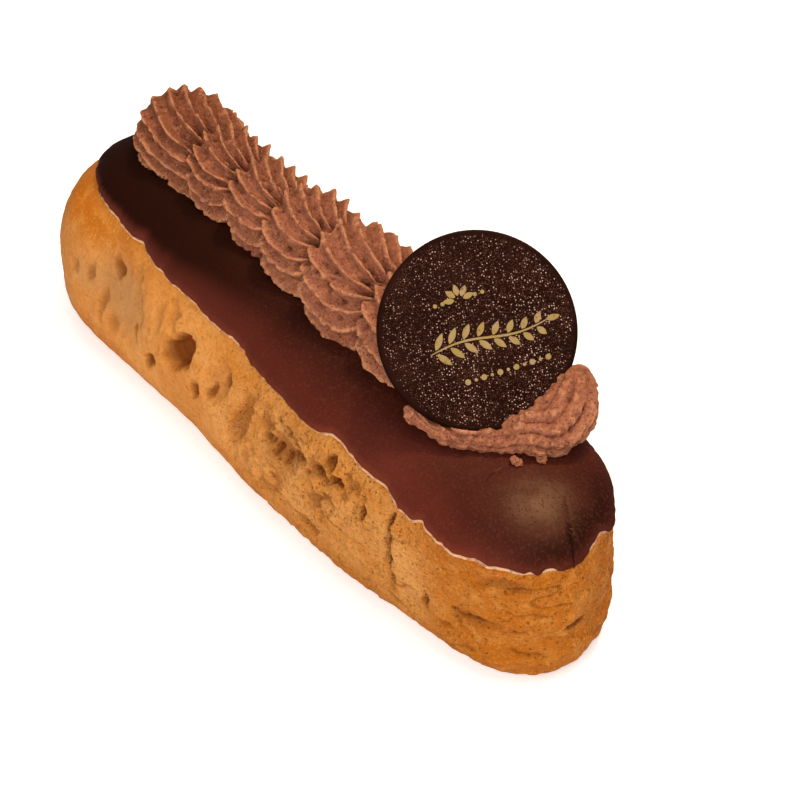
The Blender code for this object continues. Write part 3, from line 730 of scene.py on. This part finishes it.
def ridged(turn, part, number, open_share):
    """The teeth the tip leaves, from 0 in a flute to 1 on a crest: the tooth at a turn started from another
    turn at the shell's head. Ridges swing down the left side and hook back, drift over from the right, and draw
    a little together. On the first shell they start across the round end, and bend along the rope. Each ridge of
    each shell has its own height and width."""
    drifts = smooth_step(turn, DRIFT_FROM, DRIFT_TO)
    swung = SWING * part * (1.0 - HOOK * part**3)
    wide = (turn + swung * (1.0 - drifts) + DRIFT * part * drifts) / (1.0 - DRAW * part)
    if number == 0:
        bent = np.clip((part - FAN_FROM) / (FAN_TO - FAN_FROM), 0.0, 1.0)
        wide = turn * open_share + FAN * (1.0 - (1.0 - bent) ** 2)
    count = wide * RIDGES / 360.0 + 0.37 * number
    spot = np.stack([count, 3.1 * number + 0.8 * part, 0.0 * count], axis=-1)
    count = count + 0.16 * uneven(spot, 0.9, 33)
    tall = 0.80 + 0.20 * uneven(spot, 0.7, 34)
    whole = np.hypot(1.0, CREST_ROUND)
    return tall * (whole - np.hypot(np.sin(np.pi * count), CREST_ROUND)) / (whole - CREST_ROUND)


def rope_radius(x, turn, open_share):
    """The rope's radius at a place along it and a turn in degrees from its crest. Each shell rises steeply at
    its head, later in the flutes than on the ridges, swells and then thins; the outermost shell shows."""
    sweep = SHELL_SWEEP * np.minimum(np.abs(turn), 110.0) ** 2
    outermost = np.zeros(np.broadcast(x, turn).shape)
    for number, (start, end, body) in enumerate(zip(SHELL_STARTS[:-1], SHELL_STARTS[1:], SHELL_RADII)):
        part = (x - start - sweep) / (end - start)
        held = np.clip(part, 0.0, 1.25)
        tooth = ridged(turn, held, number, open_share)
        head = start + sweep + RIDGE_SET * (1.0 - tooth)
        rise = np.sqrt(1.0 - (1.0 - np.clip((x - head) / SHELL_HEAD, 0.0, 1.0)) ** 2)
        swell = SHELL_DROP * (np.sin(np.pi * (0.12 + 0.88 * np.minimum(held, 1.0) ** 0.75)) - 0.45)
        depth = RIDGE_DEPTH * (0.75 + 0.5 * smooth_step(held, 0.6, 0.95)) * (1.0 - 0.3 * smooth_step(np.abs(turn), 75, 110))
        pinch = PINCH * smooth_step(held, 0.82, 1.05) * (1.0 - tooth)
        step = HEAD_STEP - HEAD_EASE * smooth_step(np.abs(turn), 30.0, 80.0)
        radius = body - step * (1.0 - rise) + swell + depth * (tooth - 0.55) - pinch - 2.5 * np.maximum(held - 1.0, 0.0)
        outermost = np.maximum(outermost, np.where((x > head) | (number == 0), radius, 0.0))
    return outermost


def rope_points():
    """The rope as rings along it: its radius with a rounded nose at both ends, roughened, pricked by small
    air holes and rested on the icing."""
    part = 0.5 - 0.5 * np.cos(np.pi * np.linspace(0.0, 1.0, 26))
    far, near = part[:13] * 8.0, 111.0 - part[12::-1] * 3.0
    x = ROPE_START + np.concatenate([far, np.linspace(far[-1], near[0], 262)[1:-1], near])[:, None]
    spread = np.linspace(-1.0, 1.0, 256, endpoint=False)
    turn = (180.0 * (0.62 * spread + 0.38 * spread**5))[None, :]
    nose = 1.0 - np.minimum(np.minimum((x - ROPE_START) / ROPE_NOSE_FAR, (ROPE_END - x) / ROPE_NOSE_NEAR), 1.0)
    open_share = np.sqrt(np.maximum(1.0 - nose**2, 0.0))
    radius = rope_radius(x, turn, open_share)
    sin, cos = np.sin(np.radians(turn)), np.cos(np.radians(turn))
    skin = np.stack([x + 0.0 * radius, radius * sin, radius * cos], axis=-1)
    radius = radius + 0.42 * uneven(skin, 3.0, 30) + 0.34 * uneven(skin, 1.3, 31) + 0.26 * uneven(skin, 0.7, 32)
    holes = np.random.default_rng(5).uniform(*HOLE_RANGES, (HOLES, 4))
    notches = [(place, angle, NOTCH_REACH, NOTCH_DEPTH) for place, angle in NOTCHES]
    for place, angle, size, depth in [*holes, *notches]:
        apart = np.hypot(x - place, np.radians(turn - angle) * 9.5)
        radius = radius - depth * np.exp(-((apart / size) ** 3))
    radius = radius * open_share
    y, z = ROPE_SIDE + radius * sin, ROPE_HEIGHT + radius * cos
    floor = icing_height(x + 0.0 * y, y) - CLEAR
    return np.stack([x + 0.0 * y, y, np.maximum(z, floor)], axis=-1)


def disc_point(right, up, front):
    """A point given by its distances right, up and to the front of the disc's centre, in the disc's plane."""
    parts = np.broadcast_arrays(right, up, front)
    return DISC_CENTRE + sum(part[..., None] * way for part, way in zip(parts, (DISC_RIGHT, DISC_UP, DISC_NORMAL)))


def round_slab(grow, low, high):
    """A plain round slab in the disc's plane, grown all round, that leaves room for the disc."""
    turn = np.linspace(0.0, 2.0 * np.pi, 160, endpoint=False)[None, :]
    reach = (DISC_RADIUS + grow) * np.array([0.0, 0.5, 1.0, 1.0, 0.5, 0.0])[:, None]
    front = np.array([low, low, low, high, high, high])[:, None]
    return make_piece("disc_room", disc_point(reach * np.cos(turn), reach * np.sin(turn), front + 0.0 * turn), None)


def smooth_between(at, stops, values):
    """A smooth curve through values at stops: between two stops a cubic that leaves and arrives with the
    slope of the line between their outer neighbours."""
    slopes = np.gradient(values, stops)
    place = np.clip(np.searchsorted(stops, at) - 1, 0, len(stops) - 2)
    span = stops[place + 1] - stops[place]
    part = (at - stops[place]) / span
    start, end = values[place], values[place + 1]
    bend = slopes[place] * span * part * (1.0 - part) ** 2 - slopes[place + 1] * span * part**2 * (1.0 - part)
    return start + (end - start) * part * part * (3.0 - 2.0 * part) + bend


def roll_points():
    """The squeezed roll: a round profile carried along the disc's rim, folded into strands that run along it
    and slowly wind round it, and flattened on the icing."""
    angles, outs, sizes, fronts = np.transpose(np.array(ROLL, float))
    share = np.linspace(0.0, 1.0, 170)[:, None]
    angle = angles[0] + (angles[-1] - angles[0]) * share
    out, size, front = (smooth_between(angle, angles, values) for values in (outs, sizes, fronts))
    end = np.sqrt(np.clip(np.minimum(share / 0.03, (1.0 - share) / 0.05), 0.0, 1.0))
    turn = np.linspace(0.0, 2.0 * np.pi, 96, endpoint=False)[None, :]
    away_right, away_up = np.cos(np.radians(angle)), np.sin(np.radians(angle))
    reach = out + size * end * np.cos(turn)
    points = disc_point(reach * away_right, reach * away_up, front + size * end * np.sin(turn))
    strand = np.abs(np.sin(4.5 * turn + 4.0 * share + 0.9 * np.sin(11.0 * share) + 1.5 * uneven(points, 5.0, 44)))
    thick = size * end * (1.03 - 0.19 * (1.0 - strand) ** 2.0)
    lump = 0.40 * uneven(points, 3.4, 41) + 0.52 * uneven(points, 1.6, 42) + 0.42 * uneven(points, 0.75, 43)
    reach = out + (thick + lump * end) * np.cos(turn)
    points = disc_point(reach * away_right, reach * away_up, front + (thick + lump * end) * np.sin(turn))
    points[..., 2] = np.maximum(points[..., 2], icing_height(points[..., 0], points[..., 1]) - CLEAR)
    return points


def work_solid(body, tool, operation):
    """Joins a closed tool to a closed body, or cuts it out, and keeps the finished mesh alone."""
    joined = body.modifiers.new(operation, "BOOLEAN")
    joined.operation, joined.solver, joined.object = operation, "MANIFOLD", tool
    shaped = bpy.data.meshes.new_from_object(body.evaluated_get(bpy.context.evaluated_depsgraph_get()))
    body.modifiers.clear()
    body.data = shaped
    bpy.data.objects.remove(tool, do_unlink=True)


def stands_proud(mesh, passes):
    """How far each point stands out from its surroundings, in millimetres: its distance along its normal from
    the same surface after each point was averaged with its neighbours a number of times."""
    points = np.empty(len(mesh.vertices) * 3)
    mesh.vertices.foreach_get("co", points)
    points = points.reshape(-1, 3) / MM
    normals = np.empty(len(points) * 3)
    mesh.vertex_normals.foreach_get("vector", normals)
    ends = np.empty(len(mesh.edges) * 2, np.int64)
    mesh.edges.foreach_get("vertices", ends)
    first, second = ends.reshape(-1, 2).T
    links = np.bincount(first, minlength=len(points)) + np.bincount(second, minlength=len(points))
    smooth = points
    for _ in range(passes):
        gathered = [
            np.bincount(first, smooth[second, axis], len(points)) + np.bincount(second, smooth[first, axis], len(points))
            for axis in range(3)
        ]
        smooth = 0.5 * smooth + 0.5 * np.stack(gathered, axis=1) / links[:, None]
    return ((points - smooth) * normals.reshape(-1, 3)).sum(axis=1)


def chocolate_cream():
    """Whipped chocolate cream: matt, with a painted highlight on its sharp ridges, painted shade in its flutes and
    towards the far end, and dark specks.
    """
    material, tree, shader, place = finish_of("chocolate_cream", 0.65, 0.1)
    proud = mark(tree, "proud")
    along = add(tree, "ShaderNodeSeparateXYZ", {"Vector": place}).outputs["X"]
    colour = blend(tree, ramp(tree, cloud(tree, place, 6.0, 3.0), 0.35, 0.7), (0.33, 0.118, 0.058), (0.28, 0.092, 0.046))
    colour = blend(tree, ramp(tree, cloud(tree, place, 1.8, 3.0), 0.4, 0.65, 0.0, 0.5), colour, (0.25, 0.083, 0.052))
    # Painted shade: the cream grows darker towards the far end
    colour = blend(tree, ramp(tree, along, -0.01, -0.06, 0.0, 0.8), colour, (0.200, 0.060, 0.026))
    # A painted highlight on the ridges, where the cream stands proud
    colour = blend(tree, ramp(tree, proud, 0.05, 0.5, 0.0, 0.8), colour, (0.50, 0.205, 0.10))
    # Painted shade in the flutes, where the cream lies below its surroundings
    colour = blend(tree, ramp(tree, proud, 0.0, -0.6, 0.0, 0.85), colour, (0.085, 0.019, 0.009))
    colour = blend(tree, ramp(tree, cloud(tree, place, 0.5, 2.0), 0.5, 0.28, 0.0, 0.7), colour, (0.11, 0.032, 0.018))
    colour = blend(tree, ramp(tree, cloud(tree, place, 0.45, 2.0), 0.55, 0.8, 0.0, 0.6), colour, (0.50, 0.23, 0.13))
    specks = dots(tree, place, 0.8, 0.22, 0.25)
    colour = blend(tree, times(tree, specks, 0.7), colour, (0.05, 0.014, 0.008))
    tree.links.new(colour, shader.inputs["Base Color"])
    shader.inputs["Subsurface Weight"].default_value = 0.15
    shader.inputs["Subsurface Radius"].default_value = (1.0, 0.45, 0.25)
    shader.inputs["Subsurface Scale"].default_value = 0.8 * MM
    grit = add(tree, "ShaderNodeMath", {0: cloud(tree, place, 0.6, 5.0), 1: times(tree, specks, 0.7)}, operation="SUBTRACT")
    relieve(tree, shader, grit.outputs[0], 0.6)
    return material


cream = make_piece("piped_shells", rope_points(), None)
half_disc = DISC_THICKNESS / 2
work_solid(cream, round_slab(CLEAR / 2, -half_disc - CLEAR / 2, 28.0), "DIFFERENCE")
work_solid(cream, make_piece("roll", roll_points(), None), "UNION")
work_solid(cream, round_slab(CLEAR, -half_disc - CLEAR, half_disc + CLEAR), "DIFFERENCE")
proud = cream.data.attributes.new("proud", "FLOAT", "POINT")
proud.data.foreach_set("value", stands_proud(cream.data, 24).astype(np.float32))
cream.data.materials.clear()
cream.data.materials.append(chocolate_cream())
cream.data.shade_smooth()
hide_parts("piped_cream")
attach(cream, "root")

# Two crumbs of the cream fell on the icing in front of the roll.
CRUMBS = ((54.2, 2.3, 1.25, 1.0, 0.9, 51), (56.3, 6.4, 1.2, 0.8, 0.7, 52))


def crumb_points(x, y, long, wide, tall, seed):
    """A lump: a globe of long, wide and tall half sizes whose surface is pushed in and out unevenly."""
    tilt = np.linspace(-0.5, 0.5, 22)[:, None] * np.pi
    turn = np.linspace(0.0, 2.0 * np.pi, 32, endpoint=False)[None, :]
    globe = np.stack([np.cos(tilt) * np.cos(turn), np.cos(tilt) * np.sin(turn), np.sin(tilt) + 0.0 * turn], axis=-1)
    globe = globe * (1.0 + 0.5 * uneven(globe, 0.9, seed) + 0.35 * uneven(globe, 0.4, seed + 9))[..., None]
    rest = float(icing_height(np.array(x), np.array(y))) + 0.6 * tall
    return globe * (long, wide, tall) + (x, y, rest)


for number, crumb in enumerate(CRUMBS, 1):
    # A proud of 0.2 gives the crumbs a little of the ridges' painted highlight
    piece = make_piece(f"cream_crumb_{number}", crumb_points(*crumb), None, {"proud": np.full((22, 32), 0.2)})
    piece.data.materials.append(cream.data.materials[0])
    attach(piece, "root")


# ---- The disc --------------------------------------------------------------------------------
# A thin round of dark chocolate, cast on a textured sheet that leaves a fine grain on its face,
# pushed into the cream so that it leans back. The grain's sparkle is painted on as pale glints.

GRAIN_SIZE, GRAIN_HEIGHT = 0.72, 0.07


def grain_height(right, up):
    """Fine beads all over the face: each square cell of a lattice has one, put off its middle by its own
    shift, and a point takes the highest of the nine round it."""
    cell_right, cell_up = np.floor(right / GRAIN_SIZE), np.floor(up / GRAIN_SIZE)
    highest = np.zeros_like(right)
    for step_right in (-1, 0, 1):
        for step_up in (-1, 0, 1):
            cell = np.stack([cell_right + step_right, cell_up + step_up, 0.0 * cell_up], axis=-1)
            shift_right, shift_up, size = (0.5 + 0.5 * uneven(cell, 1.0, seed) for seed in (61, 62, 63))
            apart = np.hypot(
                right / GRAIN_SIZE - cell[..., 0] - shift_right, up / GRAIN_SIZE - cell[..., 1] - shift_up
            )
            highest = np.maximum(highest, (0.3 + 0.7 * size) * np.clip(1.0 - (apart / 0.55) ** 2, 0.0, 1.0))
    return GRAIN_HEIGHT * highest


def sparkling_chocolate():
    """Near-black chocolate with a satin face, and pale painted glints on its fine grain."""
    material, tree, shader, place = finish_of("sparkling_chocolate", 0.5, 0.1)
    patchy = ramp(tree, cloud(tree, place, 5.0, 2.0), 0.35, 0.65, 0.35, 1.0)
    colour = blend(tree, ramp(tree, cloud(tree, place, 9.0, 3.0), 0.3, 0.7), (0.010, 0.0022, 0.0010), (0.016, 0.0040, 0.0022))
    grain = mark(tree, "grain")
    face = add(tree, "ShaderNodeAttribute", {}, attribute_name="on_face").outputs["Vector"]
    # Painted glints: pale dots on the grain that stand for its sparkle
    painted_glints = times(tree, dots(tree, face, 0.44, 0.28, 0.22, "2D"), times(tree, grain, patchy))
    painted_dim_glints = times(tree, dots(tree, face, 0.31, 0.30, 0.45, "2D"), times(tree, grain, patchy))
    colour = blend(tree, painted_dim_glints, colour, (0.17, 0.075, 0.052))
    colour = blend(tree, painted_glints, colour, (0.62, 0.40, 0.33))
    tree.links.new(colour, shader.inputs["Base Color"])
    relieve(tree, shader, cloud(tree, place, 0.5, 3.0), 0.12)
    return material


disc_turn = np.linspace(0.0, 2.0 * np.pi, 480, endpoint=False)[None, :]
edge_in, half = DISC_RADIUS - DISC_EDGE, half_disc
back_rows = ((0.0, -half), (0.5 * DISC_RADIUS, -half), (edge_in, -half), (DISC_RADIUS - 0.1, 0.1 - half))
rim_rows = ((DISC_RADIUS, DISC_EDGE - half), (DISC_RADIUS, 0.0), (DISC_RADIUS, half - DISC_EDGE))
round_rows = ((DISC_RADIUS - 0.1, half - 0.1), (edge_in, half))
face_rows = tuple((reach, half) for reach in np.linspace(edge_in, 0.0, 78)[1:])
disc_reach, disc_front = (column[:, None] for column in np.transpose(back_rows + rim_rows + round_rows + face_rows))
disc_right, disc_up = disc_reach * np.cos(disc_turn), disc_reach * np.sin(disc_turn)
on_face = (disc_front > half - 1e-6) * smooth_step(edge_in - disc_reach, 0.2, 1.2)
disc_front = disc_front + on_face * grain_height(disc_right, disc_up)
on_print = np.stack([disc_right, disc_up, 0.0 * disc_right], axis=-1) * MM
disc = make_piece(
    "dark_disc",
    disc_point(disc_right, disc_up, disc_front),
    sparkling_chocolate(),
    {"grain": on_face + 0.0 * disc_turn, "on_face": on_print},
)
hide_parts("chocolate_disc")
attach(disc, "root")

# A gold ornament printed on the face: a leafy sprig, a small open flower above it and a row of dots below.
PRINT_SLANT, PRINT_RISE, PRINT_SINK = 9.0, 0.11, 0.1


def leaf_outline(length, width):
    """A pointed leaf from the origin along x: half its width is a sine of the way along, to a power."""
    part = np.linspace(0.0, 1.0, 11)
    half_width = width / 2 * np.sin(np.pi * part) ** 0.8 * (1.15 - 0.3 * part)
    upper = np.stack([part * length, half_width], axis=1)
    lower = np.stack([part * length, -half_width], axis=1)
    return np.concatenate([lower, upper[-2:0:-1]])


def dot_outline(width):
    """A round dot about the origin."""
    turn = np.linspace(0.0, 2.0 * np.pi, 20, endpoint=False)
    return width / 2 * np.stack([np.cos(turn), np.sin(turn)], axis=1)


def stem_outline(start, end, wave, width):
    """A thin stem from start to end along x, that follows one slow sine wave."""
    along = np.linspace(start, end, 40)
    middle = wave * np.sin(2.0 * np.pi * (along - start) / (end - start))
    half_width = width / 2 * np.sqrt(np.sin(np.pi * np.linspace(0.02, 0.98, 40)))
    lower, upper = np.stack([along, middle - half_width], axis=1), np.stack([along, middle + half_width], axis=1)
    return np.concatenate([lower, upper[::-1]])


def set_down(outline, right, up, turn):
    """An outline turned by an angle in degrees and moved to its place on the print."""
    cos, sin = np.cos(np.radians(turn)), np.sin(np.radians(turn))
    return np.stack([outline[:, 0] * cos - outline[:, 1] * sin + right, outline[:, 0] * sin + outline[:, 1] * cos + up], axis=1)


def gold_print():
    """A gold transfer, a little worn, so that the dark chocolate shows through in fine flecks."""
    material, tree, shader, place = finish_of("gold_print", 0.42, 0.5)
    worn = ramp(tree, cloud(tree, place, 0.7, 3.0), 0.58, 0.72, 0.0, 0.7)
    colour = blend(tree, ramp(tree, cloud(tree, place, 3.0), 0.4, 0.7), (0.33, 0.22, 0.065), (0.38, 0.245, 0.12))
    tree.links.new(blend(tree, worn, colour, (0.12, 0.06, 0.03)), shader.inputs["Base Color"])
    shader.inputs["Metallic"].default_value = 0.25
    return material


SPRIG_START, SPRIG_END, SPRIG_WAVE, SPRIG_UP = -9.5, 12.5, 0.7, -1.8
outlines = [set_down(stem_outline(SPRIG_START, SPRIG_END, SPRIG_WAVE, 0.42), 0.0, SPRIG_UP, 0.0)]
for number, right in enumerate(np.linspace(SPRIG_START + 1.2, SPRIG_END - 2.4, 8)):
    up = SPRIG_UP + SPRIG_WAVE * np.sin(2.0 * np.pi * (right - SPRIG_START) / (SPRIG_END - SPRIG_START))
    long = 3.3 - 0.16 * number
    outlines += [set_down(leaf_outline(long, 1.15), right, up + side * 0.35, side * 52.0) for side in (-1, 1)]
outlines.append(set_down(leaf_outline(2.6, 1.1), SPRIG_END - 0.4, SPRIG_UP, 0.0))
for petal in (-2, -1, 0, 1, 2):
    petal_turn = np.radians(90.0 + 40.0 * petal)
    right, up = -1.6 + 0.8 * np.cos(petal_turn), 6.0 + 0.8 * np.sin(petal_turn)
    outlines.append(set_down(leaf_outline(2.1, 1.05), right, up, 90.0 + 40.0 * petal))
outlines += [set_down(dot_outline(0.75), right, 6.2, 0.0) for right in (-6.0, -4.6, 1.4, 2.8)]
outlines += [
    set_down(dot_outline(0.6 + 0.45 * (number % 2 == 0)), right, -8.2, 0.0)
    for number, right in enumerate(np.linspace(-4.6, 10.4, 11))
]
flat, faces, start = [], [], 0
for outline in outlines:
    count = len(outline)
    turned = set_down(outline, 0.0, 0.0, PRINT_SLANT)
    for front in (half - PRINT_SINK, half + PRINT_RISE):
        flat.append(disc_point(turned[:, 0], turned[:, 1], front))
    low, high = np.arange(start, start + count), np.arange(start + count, start + 2 * count)
    faces += [low[::-1].tolist(), high.tolist()]
    faces += np.stack([low, np.roll(low, -1), np.roll(high, -1), high], axis=1).tolist()
    start += 2 * count
print_mesh = bpy.data.meshes.new("gold_ornament")
print_mesh.from_pydata((np.concatenate(flat) + HOME) * MM, [], faces)
print_mesh.materials.append(gold_print())
ornament = bpy.data.objects.new("gold_ornament", print_mesh)
bpy.context.scene.collection.objects.link(ornament)
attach(ornament, "root")


# ---- The table, the light and the camera -------------------------------------------------------
# The eclair lies on a plain pale table under a broad soft light from its left, a small warm lamp high
# behind it, and a camera that looks down along its near end.

floor_mesh = bpy.data.meshes.new("table_top")
floor_size, floor_height = 3.0, cad_box[0].z
floor_corners = [(x * floor_size, y * floor_size, floor_height) for x, y in ((-1, -1), (1, -1), (1, 1), (-1, 1))]
floor_mesh.from_pydata(floor_corners, [], [(0, 1, 2, 3)])
floor = bpy.data.objects.new("table_top", floor_mesh)
bpy.context.scene.collection.objects.link(floor)
pale, pale_tree, pale_shader, _ = finish_of("pale_table", 0.8, 0.1)
pale_shader.inputs["Base Color"].default_value = (0.88, 0.88, 0.88, 1.0)
pale_shader.inputs["Emission Color"].default_value = (1.0, 1.0, 1.0, 1.0)
pale_shader.inputs["Emission Strength"].default_value = 0.3
floor_mesh.materials.append(pale)
floor.visible_glossy = False


def soft_light(name, way, distance, size, power, colour, shines):
    """A square area light at a distance in a direction, that faces the eclair and shines in glossy surfaces
    or not."""
    light = bpy.data.lights.new(name, "AREA")
    light.size, light.energy, light.color = size, power, colour
    lamp = bpy.data.objects.new(name, light)
    lamp.location = Vector(way).normalized() * distance
    lamp.rotation_mode = "QUATERNION"
    lamp.rotation_quaternion = Vector(way).to_track_quat("Z", "Y")
    lamp.visible_glossy = shines
    bpy.context.scene.collection.objects.link(lamp)


soft_light("window", (0.43, -0.64, 0.62), 0.9, 0.7, 8.0, (1.0, 0.98, 0.95), False)
soft_light("ceiling", (0.1, 0.1, 1.0), 1.4, 1.2, 12.0, (1.0, 0.97, 0.92), False)
soft_light("fill", (0.85, 0.50, 0.25), 0.9, 0.5, 1.1, (1.0, 0.92, 0.80), False)
soft_light("lamp", (-0.08, 0.40, 0.90), 1.0, 0.13, 5.0, (1.0, 0.76, 0.46), True)

world = bpy.data.worlds.new("room")
world.use_nodes = True
world.node_tree.nodes["Background"].inputs["Color"].default_value = (1.0, 0.97, 0.94, 1.0)
world.node_tree.nodes["Background"].inputs["Strength"].default_value = 0.07
bpy.context.scene.world = world
bpy.context.scene.view_settings.view_transform = "Standard"

CAMERA_TURN, CAMERA_TILT, CAMERA_ROLL = np.radians((52.0, 46.0, -1.0))
CAMERA_DISTANCE, CAMERA_LENS = 460.0, 108.0
CAMERA_AIM = np.array([11.88, 10.07, 16.94])
backward = np.array([
    np.sin(CAMERA_TURN) * np.cos(CAMERA_TILT), -np.cos(CAMERA_TURN) * np.cos(CAMERA_TILT), np.sin(CAMERA_TILT)
])
level_right = np.array([np.cos(CAMERA_TURN), np.sin(CAMERA_TURN), 0.0])
level_up = np.cross(backward, level_right)
camera_right = level_right * np.cos(CAMERA_ROLL) + level_up * np.sin(CAMERA_ROLL)
camera_up = level_up * np.cos(CAMERA_ROLL) - level_right * np.sin(CAMERA_ROLL)
camera = bpy.data.objects.new("camera", bpy.data.cameras.new("camera"))
camera.data.lens, camera.data.sensor_width = CAMERA_LENS, 36.0
placed = Matrix(np.stack([camera_right, camera_up, backward], axis=1).tolist()).to_4x4()
placed.translation = Vector((CAMERA_AIM + backward * CAMERA_DISTANCE + HOME) * MM)
camera.matrix_world = placed
bpy.context.scene.collection.objects.link(camera)
bpy.context.scene.camera = camera
